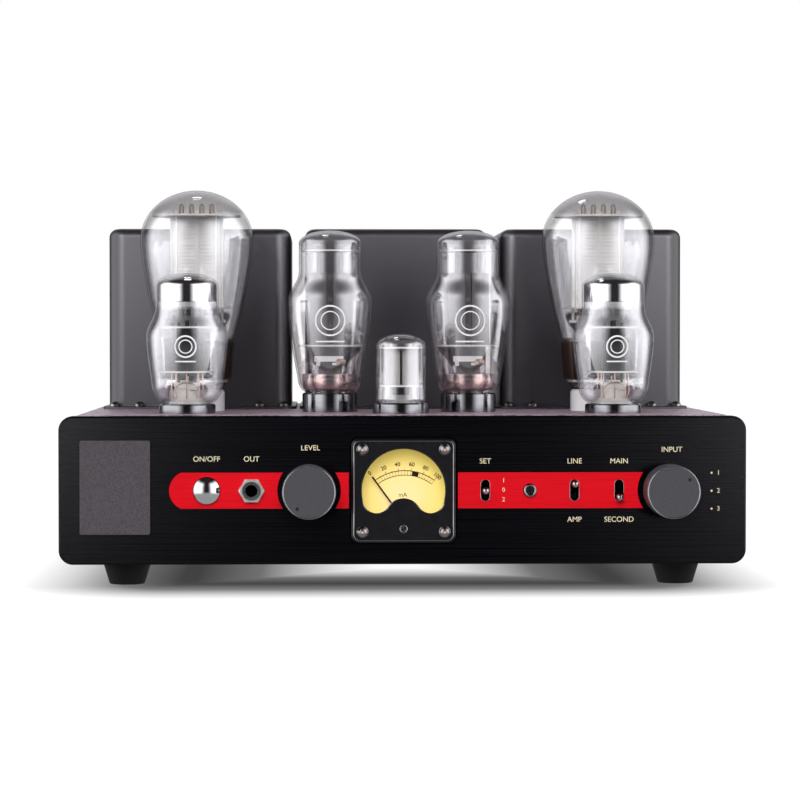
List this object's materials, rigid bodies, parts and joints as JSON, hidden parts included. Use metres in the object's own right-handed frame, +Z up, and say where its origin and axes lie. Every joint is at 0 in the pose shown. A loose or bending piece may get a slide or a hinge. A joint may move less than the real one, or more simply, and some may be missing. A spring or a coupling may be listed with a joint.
{
  "type": "tube integrated amplifier",
  "caption": "Tube amplifier with glass tubes and transformer covers on a chassis behind a thick front panel with knobs, toggles, a headphone jack and a bias meter.",
  "frame": {"origin": "on the surface the feet stand on, below the centre of the bounding box", "axes": "+X to the right as seen from the front, +Y to the rear, +Z up"},
  "size_m": [0.36, 0.328, 0.2123],
  "materials": {
    "panel_black": "black anodised, brushed sideways",
    "strip_red": "red anodised, finely brushed",
    "badge_grey": "sand-blasted",
    "chassis_paint": "speckled grey hammer paint",
    "deck_paint": "speckled grey hammer paint",
    "bottom_black": "matt black",
    "foot_rubber": "matt",
    "screw_steel": "polished",
    "cover_paint": "dark grey satin",
    "core_steel": "stacked sheet, varnished",
    "coil_wrap": "varnished wrap",
    "bezel_black": "gloss",
    "dial_cream": "printed scale, lit from behind",
    "lens_glass": "clear",
    "knob_metal": "turned, satin",
    "bright_chrome": "polished",
    "collar_chrome": "polished",
    "shaft_steel": "turned",
    "needle_black": "matt black",
    "black_plastic": "moulded",
    "pot_metal": "pressed can",
    "wafer_board": "laminate",
    "tube_glass": "clear, silvered where the getter lies",
    "bakelite": "dark brown, polished",
    "ceramic_white": "white glaze",
    "electrode_grey": "pressed sheet",
    "electrode_black": "carbonised sheet",
    "socket_black": "dark",
    "can_sleeve": "shrink sleeve",
    "board_green": "solder mask",
    "jack_gold": "gold plated",
    "terminal_red": "moulded over brass"
  },
  "bodies": {
    "chassis": {"front_panel": "panel_black", "accent_strips": "strip_red", "badge_plate": "badge_grey", "chassis_frame": "chassis_paint", "rear_panel": "chassis_paint", "deck": "deck_paint", "bottom_plate": "bottom_black", "feet": "foot_rubber", "chassis_screws": "screw_steel", "left_cover": "cover_paint", "center_cover": "cover_paint", "right_cover": "cover_paint", "cover_screws": "screw_steel", "transformer_cores": "core_steel", "transformer_windings": "coil_wrap", "meter_bezel": "bezel_black", "meter_case": "black_plastic", "meter_dial": "dial_cream", "meter_lens": "lens_glass", "meter_screws": "screw_steel", "power_switch": "black_plastic", "headphone_jack": "shaft_steel", "headphone_nut": "bright_chrome", "volume_pot": "pot_metal", "selector_switch": "wafer_board", "toggle_bodies": "black_plastic", "bias_trim_pot": "bright_chrome", "left_power_tube_glass": "tube_glass", "right_power_tube_glass": "tube_glass", "power_tube_bases": "bakelite", "power_tube_electrodes": "electrode_grey", "power_tube_sockets": "ceramic_white", "left_middle_tube_glass": "tube_glass", "right_middle_tube_glass": "tube_glass", "middle_tube_bases": "collar_chrome", "middle_tube_electrodes": "electrode_grey", "left_front_tube_glass": "tube_glass", "right_front_tube_glass": "tube_glass", "front_tube_bases": "collar_chrome", "front_tube_electrodes": "electrode_black", "center_tube_glass": "tube_glass", "center_tube_base": "collar_chrome", "center_tube_electrodes": "electrode_grey", "octal_sockets": "socket_black", "filter_capacitors": "can_sleeve", "circuit_board": "board_green", "mains_inlet": "black_plastic", "input_jacks": "jack_gold", "speaker_terminals": "terminal_red"},
    "volume_control": {"volume_knob": "knob_metal", "volume_shaft": "shaft_steel"},
    "selector_control": {"selector_knob": "knob_metal", "selector_shaft": "shaft_steel"},
    "power_push": {"power_button": "bright_chrome"},
    "bias_toggle": {"bias_toggle_lever": "bright_chrome"},
    "mode_toggle": {"mode_toggle_lever": "bright_chrome"},
    "output_toggle": {"output_toggle_lever": "bright_chrome"},
    "bias_trimmer": {"bias_trim_shaft": "shaft_steel"},
    "needle": {"meter_needle": "needle_black"},
    "zero_screw": {"meter_zero_screw": "bezel_black"}
  },
  "joints": [
    {"name": "volume_turn", "type": "hinge", "parent": "chassis", "child": "volume_control", "pos_m": [-0.04932, -0.142, 0.0507], "axis": [0, 1, 0], "range_deg": [0, 300]},
    {"name": "selector_turn", "type": "hinge", "parent": "chassis", "child": "selector_control", "pos_m": [0.13932, -0.142, 0.0507], "axis": [0, 1, 0], "range_deg": [0, 76]},
    {"name": "power_press", "type": "slide", "parent": "chassis", "child": "power_push", "axis": [0, 1, 0], "range_m": [0, 0.003], "stiffness_N_per_m": 400},
    {"name": "bias_toggle_throw", "type": "hinge", "parent": "chassis", "child": "bias_toggle", "pos_m": [0.04284, -0.126, 0.0507], "axis": [1, 0, 0], "range_deg": [-9, 9]},
    {"name": "mode_toggle_throw", "type": "hinge", "parent": "chassis", "child": "mode_toggle", "pos_m": [0.08964, -0.126, 0.0507], "axis": [1, 0, 0], "range_deg": [0, 18]},
    {"name": "output_toggle_throw", "type": "hinge", "parent": "chassis", "child": "output_toggle", "pos_m": [0.11304, -0.126, 0.0507], "axis": [1, 0, 0], "range_deg": [-18, 0]},
    {"name": "bias_trim_turn", "type": "hinge", "parent": "chassis", "child": "bias_trimmer", "pos_m": [0.06624, -0.142, 0.0507], "axis": [0, 1, 0], "range_deg": [0, 270]},
    {"name": "needle_swing", "type": "hinge", "parent": "chassis", "child": "needle", "pos_m": [0, -0.134, 0.0352], "axis": [0, 1, 0], "range_deg": [0, 72], "stiffness_Nm_per_rad": 0.0005},
    {"name": "zero_screw_turn", "type": "hinge", "parent": "chassis", "child": "zero_screw", "pos_m": [0, -0.145, 0.0307], "axis": [0, 1, 0], "range_deg": [-30, 30]}
  ]
}
